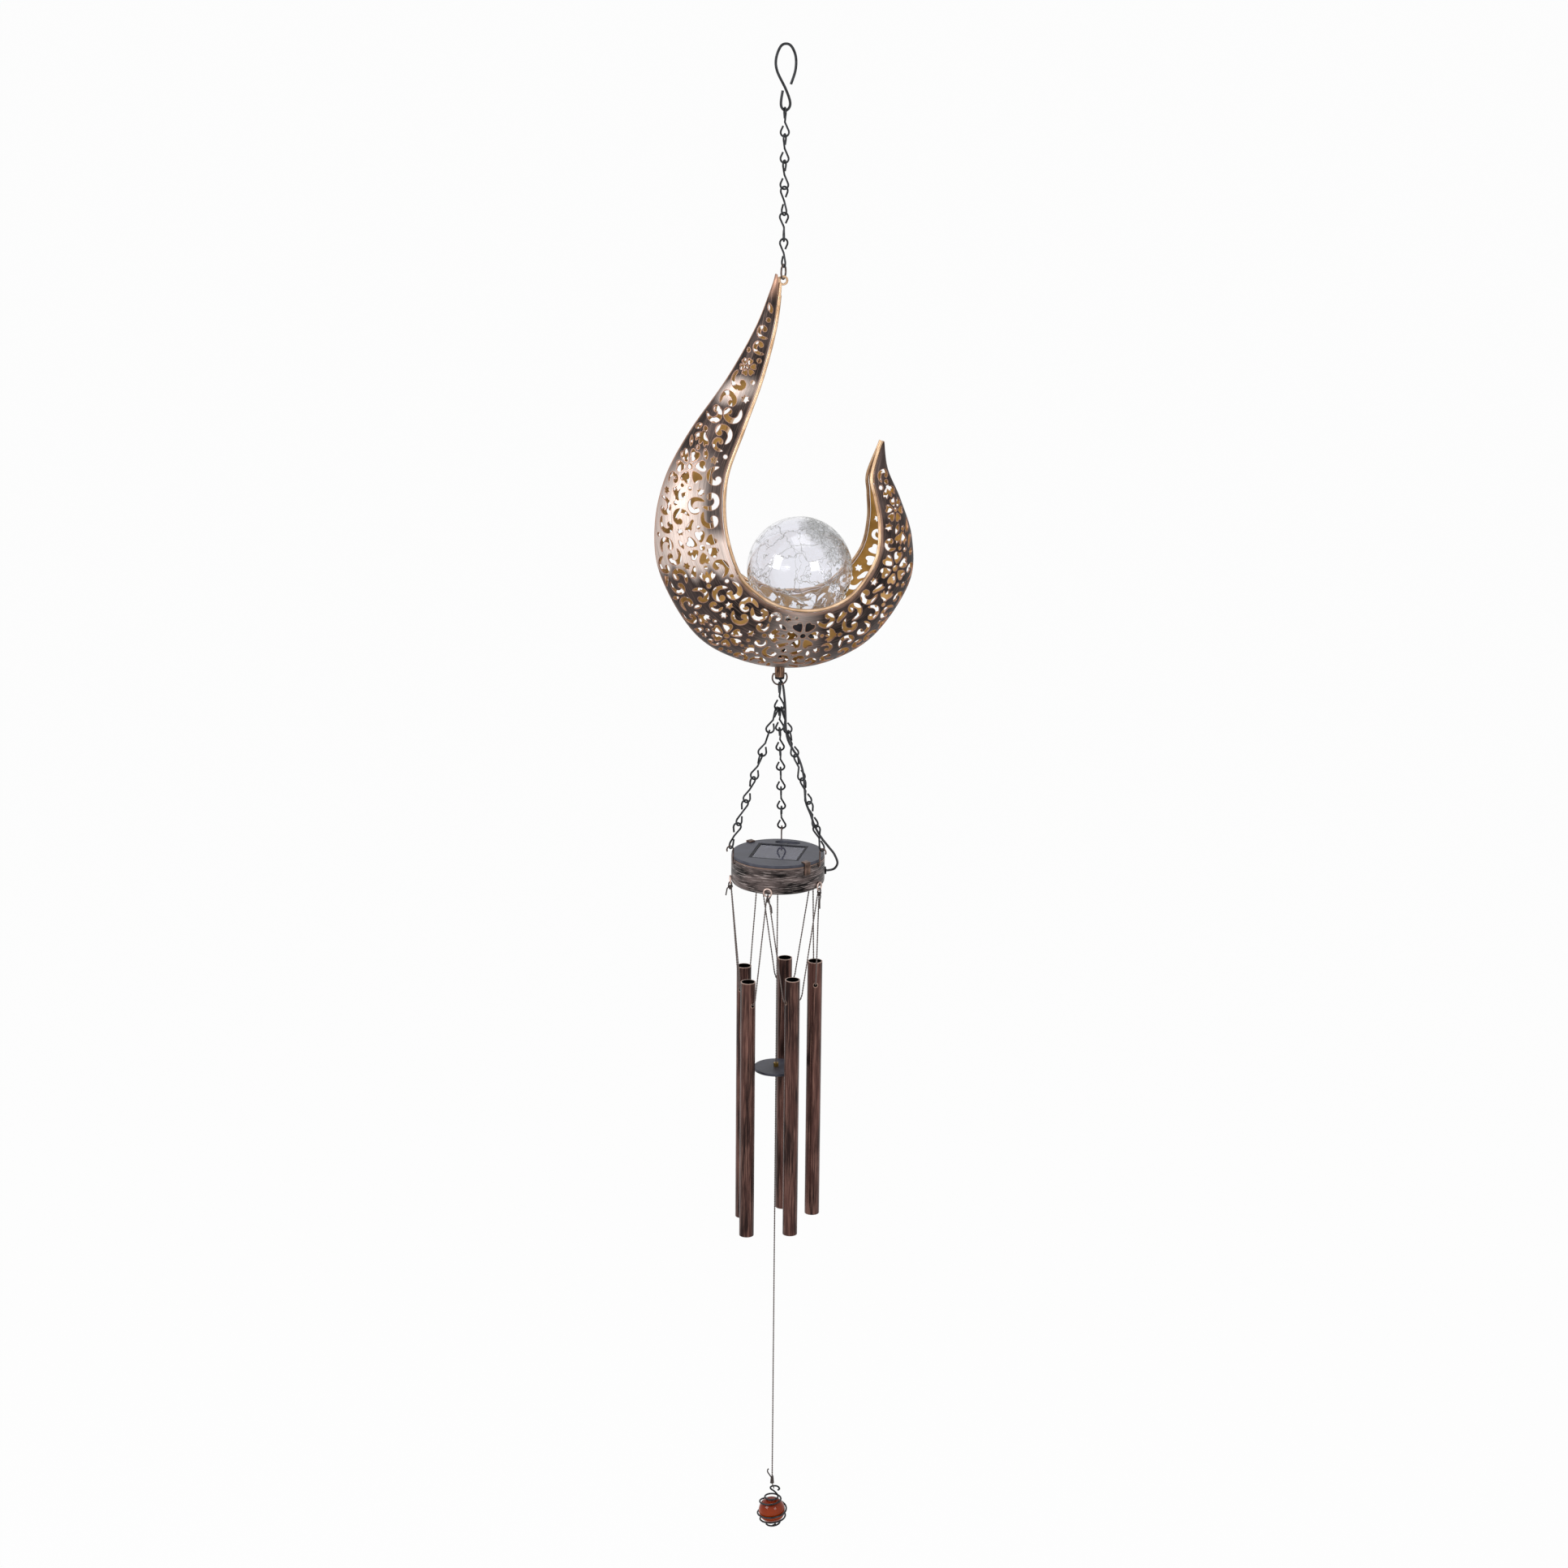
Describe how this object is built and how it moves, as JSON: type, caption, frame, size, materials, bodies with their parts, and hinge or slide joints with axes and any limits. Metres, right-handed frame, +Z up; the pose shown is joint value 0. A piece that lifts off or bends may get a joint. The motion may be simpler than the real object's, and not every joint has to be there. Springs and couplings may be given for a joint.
{
  "type": "solar wind chime",
  "caption": "Hanging solar lantern: a pierced bronze crescent holds a crackle glass globe, and a solar housing below it carries chime tubes, a striker and a caged marble on cords.",
  "frame": {"origin": "inner top of the hanging hook's eye, where the chime rests on its support", "axes": "+Z up, +X across the crescent from its tall limb to its short horn, +Y from the front sheet to the back sheet"},
  "size_m": [0.1529, 0.0621, 0.9119],
  "materials": {
    "black_wire": "black lacquered wire, satin",
    "bronze_sheet": "brushed antique bronze with copper highlights",
    "copper_trim": "polished copper",
    "clear_glass": "clear crackle glass",
    "pale_rubber": "matt",
    "led_resin": "clear resin",
    "black_plastic": "satin black",
    "black_rubber": "matt black",
    "silicon": "dark blue cell",
    "clear_resin": "clear cover",
    "cell_can": "printed sleeve, plain",
    "bright_steel": "plated",
    "board": "green board",
    "cord": "twisted grey-brown cord",
    "bronze_tube": "dark bronze lacquer, satin",
    "brass": "polished",
    "amber_glass": "amber glass"
  },
  "bodies": {
    "hook": {"hanging_hook": "black_wire"},
    "link_1": {"chain_link_1": "black_wire"},
    "link_2": {"chain_link_2": "black_wire"},
    "link_3": {"chain_link_3": "black_wire"},
    "link_4": {"chain_link_4": "black_wire"},
    "link_5": {"chain_link_5": "black_wire"},
    "link_6": {"chain_link_6": "black_wire"},
    "tip_ring": {"tip_ring": "copper_trim"},
    "crescent": {"crescent_front": "bronze_sheet", "crescent_back": "bronze_sheet", "rim_wire_front": "copper_trim", "rim_wire_back": "copper_trim", "tip_lug": "copper_trim", "glass_globe": "clear_glass", "globe_plug": "pale_rubber", "lamp_led": "led_resin", "lamp_cup": "bronze_sheet", "lamp_bracket": "bronze_sheet", "lamp_lead": "black_rubber", "boss": "copper_trim", "cable_gland": "black_rubber"},
    "boss_ring": {"boss_ring": "black_wire"},
    "sling": {"sling_hook": "black_wire", "sling_chain_left": "black_wire", "sling_chain_back": "black_wire", "sling_chain_right": "black_wire", "rim_hooks": "copper_trim", "lamp_cable": "black_rubber", "housing_pan": "bronze_sheet", "solar_lid": "black_plastic", "solar_cell": "silicon", "cell_cover": "clear_resin", "retaining_tabs": "bronze_sheet", "module_tub": "black_plastic", "battery": "cell_can", "battery_contacts": "bright_steel", "circuit_board": "board", "board_screws": "bright_steel", "switch_body": "bright_steel", "cable_grommet": "black_rubber", "cord_eyes": "copper_trim"},
    "switch": {"switch_slider": "black_plastic"},
    "cord_1": {"tube_cord_1": "cord"},
    "tube_1": {"chime_tube_1": "bronze_tube"},
    "cord_2": {"tube_cord_2": "cord"},
    "tube_2": {"chime_tube_2": "bronze_tube"},
    "cord_3": {"tube_cord_3": "cord"},
    "tube_3": {"chime_tube_3": "bronze_tube"},
    "cord_4": {"tube_cord_4": "cord"},
    "tube_4": {"chime_tube_4": "bronze_tube"},
    "cord_5": {"tube_cord_5": "cord"},
    "tube_5": {"chime_tube_5": "bronze_tube"},
    "striker_knot": {"striker_knot": "cord"},
    "striker": {"striker_cord": "cord", "striker_disc": "black_plastic", "striker_bead": "brass"},
    "sail": {"sail_cord": "cord"},
    "marble": {"marble": "amber_glass", "marble_cage": "black_wire"}
  },
  "joints": [
    {"name": "link_1_swing", "type": "hinge", "parent": "hook", "child": "link_1", "pos_m": [0, 0, -0.03455], "axis": [1, 0, 0], "range_deg": [-20, 20]},
    {"name": "link_2_swing", "type": "hinge", "parent": "link_1", "child": "link_2", "pos_m": [0, 0, -0.04885], "axis": [0, 1, 0], "range_deg": [-20, 20]},
    {"name": "link_3_swing", "type": "hinge", "parent": "link_2", "child": "link_3", "pos_m": [0, 0, -0.06325], "axis": [1, 0, 0], "range_deg": [-20, 20]},
    {"name": "link_4_swing", "type": "hinge", "parent": "link_3", "child": "link_4", "pos_m": [0, 0, -0.07765], "axis": [0, 1, 0], "range_deg": [-20, 20]},
    {"name": "link_5_swing", "type": "hinge", "parent": "link_4", "child": "link_5", "pos_m": [0, 0, -0.09205], "axis": [1, 0, 0], "range_deg": [-20, 20]},
    {"name": "link_6_swing", "type": "hinge", "parent": "link_5", "child": "link_6", "pos_m": [0, 0, -0.10645], "axis": [0, 1, 0], "range_deg": [-20, 20]},
    {"name": "tip_ring_swing", "type": "hinge", "parent": "link_6", "child": "tip_ring", "pos_m": [0, 0, -0.12085], "axis": [-0.2079, 0.9781, 0], "range_deg": [-20, 20]},
    {"name": "crescent_swing", "type": "hinge", "parent": "tip_ring", "child": "crescent", "pos_m": [0, 0, -0.1274], "axis": [0.5, 0.866, 0], "range_deg": [-15, 15]},
    {"name": "boss_ring_swing", "type": "hinge", "parent": "crescent", "child": "boss_ring", "pos_m": [0, 0, -0.35686], "axis": [1, 0, 0], "range_deg": [-20, 20], "deforming": ["lamp_cable"]},
    {"name": "sling_swing", "type": "hinge", "parent": "boss_ring", "child": "sling", "pos_m": [0, 0, -0.36282], "axis": [0, 1, 0], "range_deg": [-20, 20], "deforming": ["lamp_cable"]},
    {"name": "switch_slide", "type": "slide", "parent": "sling", "child": "switch", "axis": [0.9135, -0.4067, 0], "range_m": [0, 0.0032]},
    {"name": "cord_1_swing", "type": "hinge", "parent": "sling", "child": "cord_1", "pos_m": [-0.01983, -0.01145, -0.486], "axis": [-0.5, 0.866, 0], "range_deg": [-0.2, 20]},
    {"name": "tube_1_swing", "type": "hinge", "parent": "cord_1", "child": "tube_1", "pos_m": [-0.01983, -0.01145, -0.5554], "axis": [-0.5, 0.866, 0], "range_deg": [-0.2, 12]},
    {"name": "cord_2_swing", "type": "hinge", "parent": "sling", "child": "cord_2", "pos_m": [0.00476, -0.0224, -0.486], "axis": [-0.9781, -0.2079, 0], "range_deg": [-0.2, 20]},
    {"name": "tube_2_swing", "type": "hinge", "parent": "cord_2", "child": "tube_2", "pos_m": [0.00476, -0.0224, -0.5518], "axis": [-0.9781, -0.2079, 0], "range_deg": [-0.2, 12]},
    {"name": "cord_3_swing", "type": "hinge", "parent": "sling", "child": "cord_3", "pos_m": [0.02277, -0.00239, -0.486], "axis": [-0.1045, -0.9945, 0], "range_deg": [-0.2, 20]},
    {"name": "tube_3_swing", "type": "hinge", "parent": "cord_3", "child": "tube_3", "pos_m": [0.02277, -0.00239, -0.548], "axis": [-0.1045, -0.9945, 0], "range_deg": [-0.2, 12]},
    {"name": "cord_4_swing", "type": "hinge", "parent": "sling", "child": "cord_4", "pos_m": [0.00931, 0.02092, -0.486], "axis": [0.9135, -0.4067, 0], "range_deg": [-0.2, 20]},
    {"name": "tube_4_swing", "type": "hinge", "parent": "cord_4", "child": "tube_4", "pos_m": [0.00931, 0.02092, -0.553], "axis": [0.9135, -0.4067, 0], "range_deg": [-0.2, 12]},
    {"name": "cord_5_swing", "type": "hinge", "parent": "sling", "child": "cord_5", "pos_m": [-0.01701, 0.01532, -0.486], "axis": [0.6691, 0.7431, 0], "range_deg": [-0.2, 20]},
    {"name": "tube_5_swing", "type": "hinge", "parent": "cord_5", "child": "tube_5", "pos_m": [-0.01701, 0.01532, -0.5546], "axis": [0.6691, 0.7431, 0], "range_deg": [-0.2, 12]},
    {"name": "striker_knot_swing", "type": "hinge", "parent": "sling", "child": "striker_knot", "pos_m": [0, 0, -0.4836], "axis": [1, 0, 0], "range_deg": [-1.4, 1.4]},
    {"name": "striker_swing", "type": "hinge", "parent": "striker_knot", "child": "striker", "pos_m": [0, 0, -0.48705], "axis": [0, 1, 0], "range_deg": [-1.85, 1.85]},
    {"name": "sail_swing", "type": "hinge", "parent": "striker", "child": "sail", "pos_m": [0, 0, -0.60355], "axis": [1, 0, 0], "range_deg": [-5, 5]},
    {"name": "marble_swing", "type": "hinge", "parent": "sail", "child": "marble", "pos_m": [0.0004, 0, -0.88325], "axis": [0, 1, 0], "range_deg": [-30, 30]}
  ]
}
